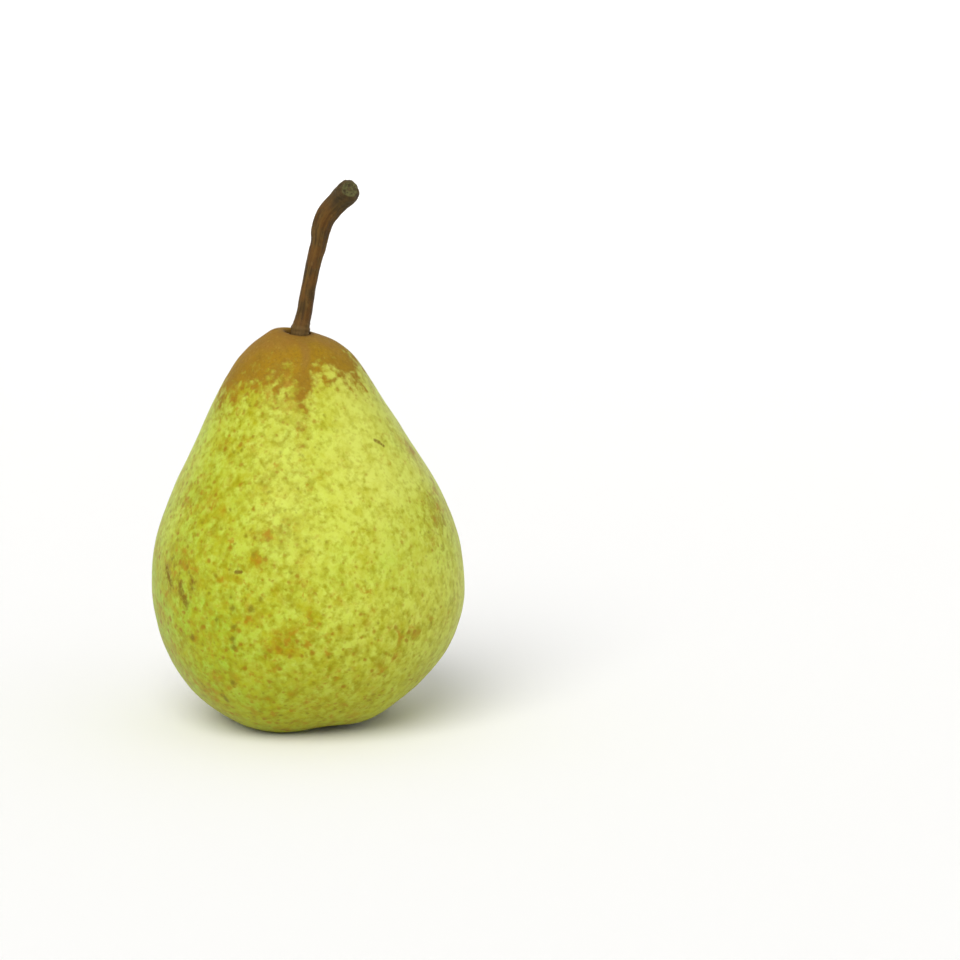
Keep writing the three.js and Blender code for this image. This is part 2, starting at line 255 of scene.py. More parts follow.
# ------------------------------------------------------------------- the fruit
def build_fruit():
    S, V = 300, 316
    mirrored = lambda r: np.concatenate([[-r[0]], r[1:]])
    table = np.vstack([mirrored(STATIONS[1]), STATIONS, mirrored(STATIONS[-2])])
    rows = bspline(table, np.linspace(0, 1, S))
    rows[0, 0] = rows[-1, 0] = 0
    up, e1, e2 = frames_of(rows)
    rho, h = rows[:, :1], rows[:, 1:2]
    v = np.linspace(0, 2 * np.pi, V, endpoint=False)[None]
    a = v - LOBE_AZIMUTH
    lobes = LOBE * ease(1 - (h - 2) / 26) * ease(rho / 12) * np.cos(5 * a)
    uneven = ease(h / 20) * ease((84 - h) / 14) * (
        0.0050 * np.cos(3 * v - 0.06 * h + 1.0) + 0.0040 * np.cos(4 * v + 0.09 * h + 2.4)
        + 0.0035 * np.cos(6 * v + 0.05 * h))
    r = rho * (1 + lobes + uneven)
    base = ease(1 - (h - 3) / 15) * ease(rho / 8)
    lift = (-base * (LOBE * 22 * np.cos(5 * a) + BASE_LEAN[0] * np.cos(v) + BASE_LEAN[1] * np.sin(v))
            + SADDLE * ease((h - 66) / 18) * ease(rho / 9) * np.cos(2 * v))
    P = (rows[:, None, 2:5] + r[..., None] * (np.cos(v)[..., None] * e1[:, None] + np.sin(v)[..., None] * e2[:, None])
         + lift[..., None] * up[:, None])
    P[..., 2] -= (HEEL[3] * np.exp(-((P[..., 0] - HEEL[0]) ** 2 + (P[..., 1] - HEEL[1]) ** 2) / (2 * HEEL[2] ** 2))
                  * ease(1 - (P[..., 2] - 1) / 9))
    z = P[..., 2]
    P[..., 2] = (z + np.sqrt(z * z + 4 * REST_ROUND ** 2)) / 2 - REST_CUT

    # way along the skin from each pole, in mm
    steps = np.linalg.norm(np.diff(P, axis=0), axis=-1)
    from_base = np.concatenate([np.zeros((1, V)), np.cumsum(steps, 0)])
    from_top = from_base[-1:] - from_base
    top_half = from_top < 60
    N = grid_normals(P)
    n1, n2, n3 = Noise(11), Noise(12), Noise(13)
    relief = 0.17 * n1.fbm(P / 13.0, 2) + 0.035 * n2.fbm(P / 3.6, 2) + 0.012 * n3(P / 1.5)
    # corky skin of the stem cavity: wrinkles that run out of it, and a small collar
    cav = ease(1 - (from_top - 1.0) / 7.5)
    wr = n3.fbm(np.stack([np.cos(v) * 3.2 + 0 * from_top, np.sin(v) * 3.2 + 0 * from_top, from_top * 0.16], -1), 3)
    relief = relief + cav * ease(from_top / 2.0) * (0.12 * wr)
    rings = np.sin(from_top * 3.6 + 1.4 * n2(P / 2.2)) * ease(1 - abs(from_top - 3.6) / 2.6)
    relief = relief + 0.04 * rings
    # shallow creases that run out of the calyx basin
    bas = ease(1 - (from_base - 2.5) / 9.0) * ease((from_base - 1.5) / 2.0)
    relief = relief + bas * 0.16 * n1.fbm(np.stack([np.cos(v) * 2.6 + 0 * from_base, np.sin(v) * 2.6 + 0 * from_base, from_base * 0.12], -1), 3)
    # the dark pit that holds the stamens
    pit = ease((2.15 - from_base) / 0.9)
    P = P + relief[..., None] * N
    P = P + (2.4 * pit)[..., None] * up[0]
    P[..., 2] = np.maximum(P[..., 2], 0.0)
    P = P + CENTRE
    P[0], P[-1] = P[0].mean(0), P[-1].mean(0)
    rows_v = from_base.mean(1) / from_base.mean(1)[-1]
    ob, pick = closed_grid("pear_fruit", P, rows_v)
    deg = np.degrees(v) % 360
    bump = lambda at, width: np.exp(-(((deg - at + 180) % 360 - 180) / width) ** 2)
    # where the russet cap ends, in mm of skin from the middle of the cavity
    edge = (15.5 + 4.0 * bump(242, 26) + 10.5 * bump(193, 24) + 8.5 * bump(270.5, 6.5) - 1.2 * bump(291, 11) + 5.0 * bump(322, 16)
            + 3.0 * bump(80, 40) + 1.0 * np.sin(5 * v + 1.1) + 0.8 * np.sin(9 * v + 0.4))
    add_float(ob.data, "cap", pick((edge - from_top) * 0.1))
    add_float(ob.data, "from_top", pick(from_top * 0.1))
    add_float(ob.data, "from_base", pick(from_base * 0.1))
    # 0 on the sunny yellow shoulder, 1 on the greener flank and base
    green = (0.80 * bump(215, 48) * ease(1 - (h - 20) / 40) + 0.50 * bump(195, 60) + 0.16 * ease(1 - (h - 6) / 26)
             + 0.25 * bump(30, 70))
    add_float(ob.data, "green", pick(np.clip(green, 0, 1)))
    # how thick the russet flecks stand
    dense = (0.30 + 0.60 * bump(334, 15) * ease(1 - abs(h - 45) / 11) - 0.30 * bump(318, 34) * ease((h - 50) / 14) + 0.40 * bump(240, 45) + 0.45 * bump(200, 28) * ease(1 - abs(h - 38) / 34) + 0.25 * ease(1 - (from_top - 16) / 22)
             + 0.30 * ease(1 - abs(h - 24) / 26) * bump(262, 45) - 0.18 * bump(310, 32) * ease((h - 30) / 20)
             + 0.2 * bump(100, 60) + 0.32 * ease(1 - (h - 2) / 36))
    add_float(ob.data, "dense", pick(np.clip(dense, 0, 1)))
    return ob, P


# -------------------------------------------------------------------- the rods
def smooth_path(points, count):
    """Even, smooth run through rows of numbers (centripetal Catmull-Rom)."""
    p = np.asarray(points, float)
    q = np.vstack([2 * p[0] - p[1], p, 2 * p[-1] - p[-2]])
    d = np.sqrt(np.maximum(np.linalg.norm(np.diff(q[:, :3], axis=0), axis=1), 1e-6))
    t = np.concatenate([[0], np.cumsum(d)])
    fine = []
    for i in range(1, len(q) - 2):
        s = np.linspace(t[i], t[i + 1], 40, endpoint=(i == len(q) - 3))[:, None]
        t0, t1, t2, t3 = t[i - 1:i + 3]
        a1 = (t1 - s) / (t1 - t0) * q[i - 1] + (s - t0) / (t1 - t0) * q[i]
        a2 = (t2 - s) / (t2 - t1) * q[i] + (s - t1) / (t2 - t1) * q[i + 1]
        a3 = (t3 - s) / (t3 - t2) * q[i + 1] + (s - t2) / (t3 - t2) * q[i + 2]
        b1 = (t2 - s) / (t2 - t0) * a1 + (s - t0) / (t2 - t0) * a2
        b2 = (t3 - s) / (t3 - t1) * a2 + (s - t1) / (t3 - t1) * a3
        fine.append((t2 - s) / (t2 - t1) * b1 + (s - t1) / (t2 - t1) * b2)
    fine = np.vstack(fine)
    way = np.concatenate([[0], np.cumsum(np.linalg.norm(np.diff(fine[:, :3], axis=0), axis=1))])
    even = np.linspace(0, way[-1], count)
    return np.stack([np.interp(even, way, fine[:, k]) for k in range(p.shape[1])], 1), even


def path_frames(path, across):
    tangent = np.gradient(path, axis=0)
    tangent /= np.linalg.norm(tangent, axis=1)[:, None]
    e1 = across - (tangent @ across)[:, None] * tangent
    e1 /= np.linalg.norm(e1, axis=1)[:, None]
    return tangent, e1, np.cross(tangent, e1)


def build_stem():
    S, V = 300, 72
    run, s = smooth_path(STEM, S - 22)
    path, radius = run[:, :3], run[:, 3]
    tan, e1, e2 = path_frames(path, np.array([0.0, 1.0, 0.0]))
    L = s[-1]
    v = np.linspace(0, 2 * np.pi, V, endpoint=False)
    n = [Noise(k) for k in (21, 22, 23, 24)]
    cyl = lambda ss, k, lz: np.stack([np.cos(v)[None] * k + 0 * ss[:, None], np.sin(v)[None] * k + 0 * ss[:, None], ss[:, None] * lz + 0 * v[None]], -1)
    # a stem is a little flattened and ridged, with swellings at its old bud scars
    flat = 1 + 0.025 * np.cos(2 * v[None] + 0.05 * s[:, None]) + 0.025 * np.cos(3 * v[None] + 0.09 * s[:, None] + 1.0)
    ridges = 0.085 * n[0].fbm(cyl(s, 2.4, 0.10), 3) + 0.04 * n[1].fbm(cyl(s, 5.5, 0.22), 2)
    lumps = 0.07 * n[2].fbm(cyl(s, 0.9, 0.30), 2) - 0.07
    at = lambda c, w: np.exp(-((s - c) / w) ** 2)[:, None]
    end = ease((s - (L - 9)) / 9)[:, None]
    rough_end = end * (0.16 * n[3].fbm(cyl(s, 1.6, 0.55), 3))
    scar = 0.13 * at(L - 12.5, 1.1) * (0.5 + 0.5 * np.cos(v[None] - 2.6)) + 0.10 * at(L - 16.0, 0.8) * (0.5 + 0.5 * np.cos(v[None] + 0.4))
    # foot: rings of cork where the stem enters the flesh
    foot = (0.045 * np.sin(s * 5.2)[:, None] + 0.08 * n[1].fbm(cyl(s, 1.4, 0.9), 2)) * at(8.8, 1.8)
    rr = radius[:, None] * flat + ridges + lumps + rough_end + scar + foot
    rr = rr + 0.32 * at(8.7, 1.1) * (0.5 + 0.5 * np.sin(v[None] + 0.35)) ** 1.5
    body = path[:, None] + rr[..., None] * (np.cos(v)[None, :, None] * e1[:, None] + np.sin(v)[None, :, None] * e2[:, None])
    # the end: a rolled rim round a sunken, torn scar
    T, A, B, R, C = tan[-1], e1[-1], e2[-1], rr[-1], path[-1]
    cap, cap_s, cap_r = [], [], []
    for f, dz in ((0.985, 0.12), (0.955, 0.26), (0.91, 0.40), (0.85, 0.52), (0.78, 0.60), (0.71, 0.63), (0.65, 0.58), (0.59, 0.48),
                  (0.53, 0.38), (0.47, 0.31), (0.41, 0.27), (0.35, 0.26), (0.29, 0.27), (0.23, 0.30), (0.17, 0.33), (0.11, 0.35), (0.06, 0.36)):
        x = C[None] + (f * R)[:, None] * (np.cos(v)[:, None] * A + np.sin(v)[:, None] * B)
        k = 0.13 * n[3].fbm(x / 0.75, 2) * (1 - 0.4 * f)
        cap.append(x + (dz + k)[:, None] * T)
        cap_s.append(L + dz)
        cap_r.append(f)
    top = cap[-1].mean(0)
    cap.append(np.repeat(top[None], V, 0)); cap_s.append(L + 0.36); cap_r.append(0.0)
    foot_pole = np.repeat(body[0].mean(0)[None], V, 0)
    P = np.concatenate([foot_pole[None], body, np.stack(cap)]) + CENTRE
    ss = np.concatenate([[0], s, cap_s])
    face = np.concatenate([np.ones(1 + len(s)), cap_r])
    way = np.concatenate([[0], np.cumsum(np.linalg.norm(np.diff(P, axis=0), axis=-1).mean(1))])
    ob, pick = closed_grid("pear_stem", P, way / way[-1])
    wide = lambda x: np.repeat(np.asarray(x, float)[:, None], V, 1)
    add_float(ob.data, "along", pick(wide(ss / L)))
    add_float(ob.data, "face", pick(wide(face)))
    add_float(ob.data, "angle", pick(np.repeat(np.cos(v - 0.3)[None], len(ss), 0)))
    grain = np.stack([np.cos(v)[None] * 1.8 + 0 * ss[:, None], np.sin(v)[None] * 1.8 + 0 * ss[:, None], ss[:, None] + 0 * v[None]], -1)
    add_vector(ob.data, "grain", pick(grain * 0.1))
    crease = ridges / 0.12 + 0.6 * rough_end / 0.16
    crease = np.concatenate([crease[:1], crease, np.repeat(crease[-1:], len(cap), 0)])
    add_float(ob.data, "crease", pick(crease))
    return ob


# ---------------------------------------------------------------- the calyx
BASIN = bspline(np.vstack([np.concatenate([[-STATIONS[1][0]], STATIONS[1][1:]]), STATIONS[:3]]), np.array([0.0]))
BASIN_UP, BASIN_E1, BASIN_E2 = (x[0] for x in frames_of(BASIN))


def basin_pole():
    p = BASIN[0, 2:5].copy()
    p[2] -= (HEEL[3] * math.exp(-((p[0] - HEEL[0]) ** 2 + (p[1] - HEEL[1]) ** 2) / (2 * HEEL[2] ** 2)) * ease(1 - (p[2] - 1) / 9))
    p[2] = (p[2] + math.sqrt(p[2] ** 2 + 4 * REST_ROUND ** 2)) / 2 - REST_CUT
    return p


POLE = basin_pole()


def calyx_point(r, azimuth, drop):
    return POLE + BASIN_E1 * (r * math.cos(azimuth)) + BASIN_E2 * (r * math.sin(azimuth)) - BASIN_UP * drop


SEPALS = [(-98, 1.0, 0.3), (-22, 0.85, 0.6), (45, 0.7, 0.9), (121, 0.94, 0.2), (193, 1.0, 0.0)]


def build_sepal(index):
    azimuth, length, droop = SEPALS[index]
    a = math.radians(azimuth)
    line = [(1.55, 0.30, 0.75, 0.22), (2.35, 0.95, 1.15, 0.27), (3.20, 1.25, 1.42, 0.25), (4.20, 1.85, 1.30, 0.21),
            (5.20, 2.70, 0.95, 0.17), (6.00, 3.35, 0.55, 0.13), (6.55, 3.55, 0.22, 0.10)]
    rows = []
    for r, drop, w, t in line:
        out = (r - 2.35) * length
        p = calyx_point(2.35 + out, a, drop + droop * float(ease(out / 3)))
        rows.append([*p, w, t])
    S, V = 60, 40
    run, s = smooth_path(rows, S)
    across = -BASIN_E1 * math.sin(a) + BASIN_E2 * math.cos(a)
    tan, e1, e2 = path_frames(run[:, :3], across)
    v = np.linspace(0, 2 * np.pi, V, endpoint=False)
    n = Noise(40 + index)
    share = s / s[-1]
    x = np.cos(v)[None] * run[:, 3:4]
    y = np.sin(v)[None] * run[:, 4:5]
    side = x / np.maximum(run[:, 3:4], 1e-6)
    # dried: cupped edges, a midrib, cross wrinkles and a ragged rim
    curl = 0.32 * side ** 2 * (0.4 + 0.8 * share[:, None])
    rib = 0.07 * np.exp(-(x / 0.22) ** 2) * np.sign(np.sin(v))[None]
    q = np.stack([x * 1.2 + index * 9, y * 0 + s[:, None] * 1.1, y * 0 + 0.0], -1)
    wrinkle = 0.13 * n.fbm(q, 3)
    ragged = 1 + 0.22 * n(np.stack([s[:, None] * 1.7 + 0 * x, side * 1.5, 0 * x + 3.0], -1)) * np.abs(side)
    P = (run[:, None, :3] + (x * ragged)[..., None] * e1[:, None] + (y + rib + wrinkle + curl * 0.8)[..., None] * e2[:, None])
    P = np.concatenate([np.repeat(P[:1].mean(1, keepdims=True), V, 1), P, np.repeat(P[-1:].mean(1, keepdims=True), V, 1)]) + CENTRE
    P[..., 2] = np.maximum(P[..., 2], 0.25)
    ob, pick = closed_grid(f"pear_sepal_{index + 1}", P)
    along = np.concatenate([[0], share, [1]])
    add_float(ob.data, "along", pick(np.repeat(along[:, None], V, 1)))
    return ob


def join_parts(name, parts):
    """Joins (vertices, faces) lists in mm into one object."""
    verts, faces, base = [], [], 0
    for pv, pf in parts:
        verts.append(pv)
        faces += [tuple(i + base for i in f) for f in pf]
        base += len(pv)
    mesh = bpy.data.meshes.new(name)
    mesh.from_pydata((np.concatenate(verts) * MM).tolist(), [], faces)
    mesh.polygons.foreach_set("use_smooth", np.ones(len(mesh.polygons), bool))
    mesh.validate()
    ob = bpy.data.objects.new(name, mesh)
    bpy.context.scene.collection.objects.link(ob)
    return ob


def rod_part(rows, sides, count, across, lump=None):
    run, s = smooth_path(rows, count)
    tan, e1, e2 = path_frames(run[:, :3], across)
    v = np.linspace(0, 2 * np.pi, sides, endpoint=False)
    r = run[:, 3:4] + 0 * v[None]
    if lump is not None:
        r = r * (1 + lump(s[:, None] + 0 * v[None], v[None] + 0 * s[:, None]))
    P = run[:, None, :3] + r[..., None] * (np.cos(v)[None, :, None] * e1[:, None] + np.sin(v)[None, :, None] * e2[:, None])
    verts = np.concatenate([P[0].mean(0)[None], P.reshape(-1, 3), P[-1].mean(0)[None]]) + CENTRE
    faces = []
    for j in range(sides):
        k = (j + 1) % sides
        faces.append((0, 1 + k, 1 + j))
        for i in range(count - 1):
            a, b = 1 + i * sides, 1 + (i + 1) * sides
            faces.append((a + j, a + k, b + k, b + j))
        b = 1 + (count - 1) * sides
        faces.append((b + j, b + k, len(verts) - 1))
    q = verts - verts.mean(0)
    vol = sum(np.dot(q[f[0]], np.cross(q[f[1]], q[f[2]])) for f in faces)
    if vol < 0:
        faces = [f[::-1] for f in faces]
    return verts, faces


def build_tuft():
    n = Noise(51)
    parts = []
    # the plug of dried tissue that the filaments stand in
    plug = [(*calyx_point(0, 0, -1.6), 0.9), (*calyx_point(0, 0, -1.1), 1.3), (*calyx_point(0, 0, -0.5), 1.42),
            (*calyx_point(0, 0, 0.05), 1.30), (*calyx_point(0, 0, 0.40), 0.75)]
    parts.append(rod_part(plug, 28, 18, BASIN_E1, lambda s, v: 0.12 * n(np.stack([np.cos(v) * 2, np.sin(v) * 2, s * 1.5], -1))))
    rng = np.random.RandomState(7)
    for i in range(17):
        a = i * 2.399 + rng.uniform(-0.2, 0.2)
        r0 = 0.28 + 0.85 * math.sqrt((i + 0.5) / 17)
        tip = 1.9 + rng.uniform(-0.5, 0.75)
        lean = rng.uniform(0.95, 1.45)
        bend = rng.uniform(-0.45, 0.45)
        rows = [(*calyx_point(r0, a, -0.5), 0.10), (*calyx_point(r0 * 1.02, a, 0.4), 0.085),
                (*calyx_point(r0 * (1 + lean) / 2, a + bend * 0.5, tip * 0.65), 0.075),
                (*calyx_point(min(r0 * lean, 1.55), a + bend, tip - 0.32), 0.07),
                (*calyx_point(min(r0 * lean, 1.55), a + bend, tip - 0.22), 0.15),
                (*calyx_point(min(r0 * lean, 1.6), a + bend * 1.1, tip), 0.17),
                (*calyx_point(min(r0 * lean, 1.6), a + bend * 1.1, tip + 0.16), 0.06)]
        parts.append(rod_part(rows, 9, 26, BASIN_E1, lambda s, v: 0.15 * n(np.stack([s * 2 + i, np.cos(v), np.sin(v)], -1))))
    return join_parts("pear_stamen_tuft", parts)


# ------------------------------------------------------------------ materials
def srgb(r, g, b):
    f = lambda c: c / 12.92 if c <= 0.04045 else ((c + 0.055) / 1.055) ** 2.4
    return (f(r / 255), f(g / 255), f(b / 255), 1.0)


class Shade:
    """A small helper that writes a material's nodes."""

    def __init__(self, name):
        self.mat = bpy.data.materials.new(name)
        self.mat.use_nodes = True
        self.tree = self.mat.node_tree
        self.tree.nodes.clear()
        self.out = self.tree.nodes.new("ShaderNodeOutputMaterial")
        self.bsdf = self.tree.nodes.new("ShaderNodeBsdfPrincipled")
        self.tree.links.new(self.bsdf.outputs[0], self.out.inputs[0])
        co = self.tree.nodes.new("ShaderNodeTexCoord")
        self.mm = self.vec("SCALE", co.outputs["Object"], scale=1000.0)

    def feed(self, socket, value):
        if isinstance(value, bpy.types.NodeSocket):
            self.tree.links.new(value, socket)
        else:
            socket.default_value = value

    def vec(self, op, a, b=None, scale=None):
        n = self.tree.nodes.new("ShaderNodeVectorMath")
        n.operation = op
        self.feed(n.inputs[0], a)
        if b is not None:
            self.feed(n.inputs[1], b)
        if scale is not None:
            self.feed(n.inputs["Scale"], scale)
        return n.outputs["Value"] if op in ("LENGTH", "DISTANCE", "DOT_PRODUCT") else n.outputs["Vector"]

    def math(self, op, a, b=0.0, c=None, clamp=False):
        n = self.tree.nodes.new("ShaderNodeMath")
        n.operation = op
        n.use_clamp = clamp
        self.feed(n.inputs[0], a)
        self.feed(n.inputs[1], b)
        if c is not None:
            self.feed(n.inputs[2], c)
        return n.outputs[0]

    def add(self, a, b):
        return self.math("ADD", a, b)

    def sub(self, a, b):
        return self.math("SUBTRACT", a, b)

    def mul(self, a, b):
        return self.math("MULTIPLY", a, b)

    def attr(self, name, vector=False):
        n = self.tree.nodes.new("ShaderNodeAttribute")
        n.attribute_name = name
        return n.outputs["Vector" if vector else "Fac"]

    def noise(self, at, scale, detail=2.0, rough=0.5, distort=0.0, colour=False):
        n = self.tree.nodes.new("ShaderNodeTexNoise")
        self.feed(n.inputs["Vector"], at)
        self.feed(n.inputs["Scale"], scale)
        n.inputs["Detail"].default_value = detail
        n.inputs["Roughness"].default_value = rough
        n.inputs["Distortion"].default_value = distort
        return n.outputs["Color" if colour else "Fac"]

    def cells(self, at, scale, feature="F1", output="Distance", random=1.0):
        n = self.tree.nodes.new("ShaderNodeTexVoronoi")
        n.feature = feature
        self.feed(n.inputs["Vector"], at)
        self.feed(n.inputs["Scale"], scale)
        n.inputs["Randomness"].default_value = random
        return n.outputs[output]

    def step(self, value, low, high, to_low=0.0, to_high=1.0, smooth=True):
        n = self.tree.nodes.new("ShaderNodeMapRange")
        n.interpolation_type = "SMOOTHSTEP" if smooth else "LINEAR"
        n.clamp = True
        self.feed(n.inputs["Value"], value)
        self.feed(n.inputs["From Min"], low)
        self.feed(n.inputs["From Max"], high)
        self.feed(n.inputs["To Min"], to_low)
        self.feed(n.inputs["To Max"], to_high)
        return n.outputs["Result"]

    def mix(self, share, a, b, blend="MIX"):
        n = self.tree.nodes.new("ShaderNodeMix")
        n.data_type = "RGBA"
        n.blend_type = blend
        n.clamp_factor = True
        self.feed(n.inputs[0], share)
        self.feed(n.inputs[6], a)
        self.feed(n.inputs[7], b)
        return n.outputs[2]

    def split(self, colour, channel):
        n = self.tree.nodes.new("ShaderNodeSeparateColor")
        self.feed(n.inputs[0], colour)
        return n.outputs[channel]

    def warp(self, at, scale, amount, detail=2.0):
        c = self.noise(at, scale, detail, colour=True)
        c = self.vec("SUBTRACT", c, (0.5, 0.5, 0.5))
        return self.vec("ADD", at, self.vec("SCALE", c, scale=amount))

    def finish(self, colour, rough, bump=None, strength=1.0, distance=0.0001, **plain):
        self.feed(self.bsdf.inputs["Base Color"], colour)
        self.feed(self.bsdf.inputs["Roughness"], rough)
        if bump is not None:
            n = self.tree.nodes.new("ShaderNodeBump")
            n.inputs["Strength"].default_value = strength
            n.inputs["Distance"].default_value = distance
            self.feed(n.inputs["Height"], bump)
            self.tree.links.new(n.outputs[0], self.bsdf.inputs["Normal"])
        for key, value in plain.items():
            self.bsdf.inputs[key.replace("_", " ")].default_value = value
        return self.mat


def skin_material():
    s = Shade("pear_skin")
    turn = s.tree.nodes.new("ShaderNodeVectorRotate")
    turn.rotation_type = "EULER_XYZ"
    turn.inputs["Rotation"].default_value = (0.62, 0.47, 0.83)
    s.feed(turn.inputs["Vector"], s.mm)
    mm = turn.outputs[0]
    cap, top, base = s.attr("cap"), s.attr("from_top"), s.attr("from_base")
    green, dense = s.attr("green"), s.attr("dense")
    broad = s.noise(mm, 0.055, 2.0)
    middle = s.noise(mm, 0.20, 3.0, 0.55)
    drift = s.noise(mm, 0.12, 2.0, 0.5)
    fine = s.noise(mm, 0.85, 3.0, 0.6)
    soft = s.noise(mm, 0.62, 2.0, 0.5)
    rag = s.sub(s.noise(mm, 0.55, 3.0, 0.6), 0.5)
    # the ground: yellow-green, greener on the flank and towards the base
    ground = s.mix(s.step(s.add(green, s.mul(s.sub(broad, 0.5), 1.1)), 0.0, 1.0, smooth=False),
                   srgb(195, 204, 78), srgb(150, 183, 44))
    ground = s.mix(s.step(middle, 0.38, 0.70, 0.0, 0.34, smooth=False), ground, srgb(184, 180, 50))
    ground = s.mix(s.step(fine, 0.40, 0.76, 0.0, 0.34, smooth=False), ground, srgb(204, 211, 106))
    # darker olive towards the base: partly the skin's own olive tone, partly painted shade
    ground = s.mix(s.step(base, 5.2, 1.4, 0.0, 0.60), ground, srgb(152, 154, 8))
    ground = s.mix(s.step(dense, 0.36, 0.04, 0.0, 0.40), ground, srgb(206, 212, 104))
    # where flecks crowd together
    near = s.step(s.add(s.attr("d_ochre"), s.mul(rag, 0.45)), 0.16, -0.10)
    crowd = s.add(s.add(s.mul(dense, 0.090), s.mul(s.sub(drift, 0.5), 0.22)), s.mul(near, 0.085))
    vivid = s.step(dense, 0.0, 0.85, 0.72, 1.20, smooth=False)
    # a soft mustard mottling over nearly all of the skin, coarse and fine
    cloud = s.add(s.noise(s.warp(mm, 0.5, 1.6, 2.0), 0.36, 4.0, 0.62), crowd)
    ground = s.mix(s.mul(vivid, s.step(cloud, 0.47, 0.78, 0.0, 0.80, smooth=False)), ground, srgb(164, 160, 4))
    small = s.add(s.noise(s.warp(mm, 1.3, 0.4, 1.0), 0.74, 3.0, 0.5), s.mul(crowd, 0.7))
    ground = s.mix(s.mul(vivid, s.step(small, 0.49, 0.76, 0.0, 0.82, smooth=False)), ground, srgb(146, 142, 2))
    # its darker patches and their orange-brown cores
    patch = s.add(s.noise(s.warp(mm, 0.45, 2.2, 3.0), 0.32, 4.0, 0.60), s.mul(s.sub(soft, 0.5), 0.35))
    reach = s.sub(0.600, crowd)
    patches = s.step(patch, reach, s.add(reach, 0.24), smooth=False)
    skin = s.mix(s.mul(patches, 0.80), ground, s.mix(s.step(middle, 0.42, 0.58), srgb(142, 132, 2), srgb(158, 128, 2)))
    core = s.add(s.noise(s.warp(mm, 0.9, 1.2, 2.0), 0.42, 3.0, 0.6), s.mul(s.sub(drift, 0.5), 0.2))
    deep = s.sub(0.655, crowd)
    skin = s.mix(s.mul(s.step(core, deep, s.add(deep, 0.18)), 0.66), skin, srgb(162, 112, 1))
    # lenticels and flecks: soft spots of three sizes, larger inside the patches
    for scale, size, thin, wander, spot, share in (
            (0.40, 0.26, 0.22, 0.8, srgb(122, 110, 2), 0.64),
            (0.56, 0.36, 0.28, 0.7, srgb(124, 116, 2), 0.68),
            (0.84, 0.36, 0.30, 0.4, srgb(130, 122, 2), 0.48)):
        at = s.warp(mm, 0.9, wander, 2.0)
        dist = s.cells(at, scale, "F1", "Distance")
        own = s.split(s.cells(at, scale, "F1", "Color"), 0)
        radius = s.mul(s.step(own, 0.10, 1.0, 0.06, size, smooth=False), s.step(s.add(crowd, s.mul(patches, 0.06)), -0.06, 0.20, 0.70, 1.32))
        dot = s.step(s.sub(radius, dist), -0.08, thin)
        skin = s.mix(s.mul(s.mul(dot, share), vivid), skin, s.mix(s.step(own, 0.78, 0.82), spot, srgb(146, 108, 1)))
    olive = s.step(s.add(s.attr("d_dot"), s.mul(rag, 0.12)), 0.03, -0.05)
    skin = s.mix(s.mul(olive, 0.72), skin, srgb(110, 98, 2))
    # russet cap round the stem: solid, then broken into flecks
    cover = s.add(cap, s.add(s.mul(s.sub(s.noise(s.warp(mm, 0.5, 1.6), 0.30, 3.0, 0.6), 0.5), 1.5),
                             s.mul(s.sub(s.noise(s.warp(mm, 1.2, 0.4), 0.64, 2.0, 0.5), 0.5), 2.0)))
    russet = s.step(cover, -0.40, 0.36)
    cork = s.mix(s.step(s.noise(mm, 0.16, 3.0, 0.6), 0.40, 0.62), srgb(136, 96, 12), srgb(150, 110, 4))
    cork = s.mix(s.step(s.add(cap, s.mul(s.sub(middle, 0.5), 1.2)), 0.35, 1.35, 0.0, 0.74), cork, srgb(136, 91, 44))
    cork = s.mix(s.step(s.noise(mm, 1.5, 3.0, 0.65), 0.46, 0.68, 0.0, 0.45), cork, srgb(110, 76, 20))
    cork = s.mix(s.step(s.cells(mm, 0.9, "F1"), 0.36, 0.12, 0.0, 0.24), cork, srgb(176, 142, 62))
    skin = s.mix(s.mul(russet, 0.94), skin, cork)
    # a faint flush of russet reaches further down between the flecks
    skin = s.mix(s.step(cap, -1.0, 0.3, 0.0, 0.22), skin, srgb(152, 124, 24))
    # the stem cavity, the calyx basin and the scars
    # dark red-brown in the stem cavity: partly the cork's own colour, partly painted shade in the recess
    skin = s.mix(s.step(top, 0.60, 0.36, 0.0, 0.85), skin, srgb(66, 36, 20))
    skin = s.mix(s.step(s.add(base, s.mul(s.sub(middle, 0.5), 0.5)), 1.15, 0.35, 0.0, 0.68), skin, srgb(112, 96, 38))
    skin = s.mix(s.step(base, 0.42, 0.22, 0.0, 0.94), skin, srgb(44, 32, 22))
    tear = s.mul(s.sub(s.noise(mm, 1.0, 3.0, 0.6), 0.5), 0.26)
    rim = s.step(s.add(s.attr("d_scar"), s.mul(tear, 1.6)), 0.10, -0.06)
    skin = s.mix(s.mul(rim, 0.60), skin, srgb(128, 102, 8))
    scar = s.step(s.add(s.attr("d_scar"), s.mul(tear, 1.1)), 0.030, -0.090)
    skin = s.mix(s.mul(scar, 0.62), skin, srgb(108, 80, 12))
    dash = s.step(s.add(s.attr("d_dash"), s.mul(tear, 0.25)), 0.022, -0.026)
    skin = s.mix(s.mul(dash, 0.78), skin, srgb(108, 76, 12))
    # gloss: the waxy skin shines, cork and scars are dull
    dull = s.math("MAXIMUM", russet, s.mul(scar, 0.9))
    rough = s.add(s.step(dull, 0.0, 1.0, 0.46, 0.66), s.mul(s.sub(fine, 0.5), 0.10))
    pores = s.cells(mm, 1.7, "F1")
    height = s.add(s.mul(s.noise(mm, 1.6, 3.0, 0.6), 0.55), s.step(pores, 0.30, 0.06, 0.0, -0.45))
    height = s.add(height, s.mul(russet, s.mul(s.noise(mm, 2.6, 3.0, 0.7), 0.9)))
    height = s.sub(height, s.mul(scar, 0.9))
    height = s.sub(height, s.mul(patches, 0.25))
    return s.finish(skin, rough, height, 0.55, 0.00012, IOR=1.45, Specular_IOR_Level=0.16)


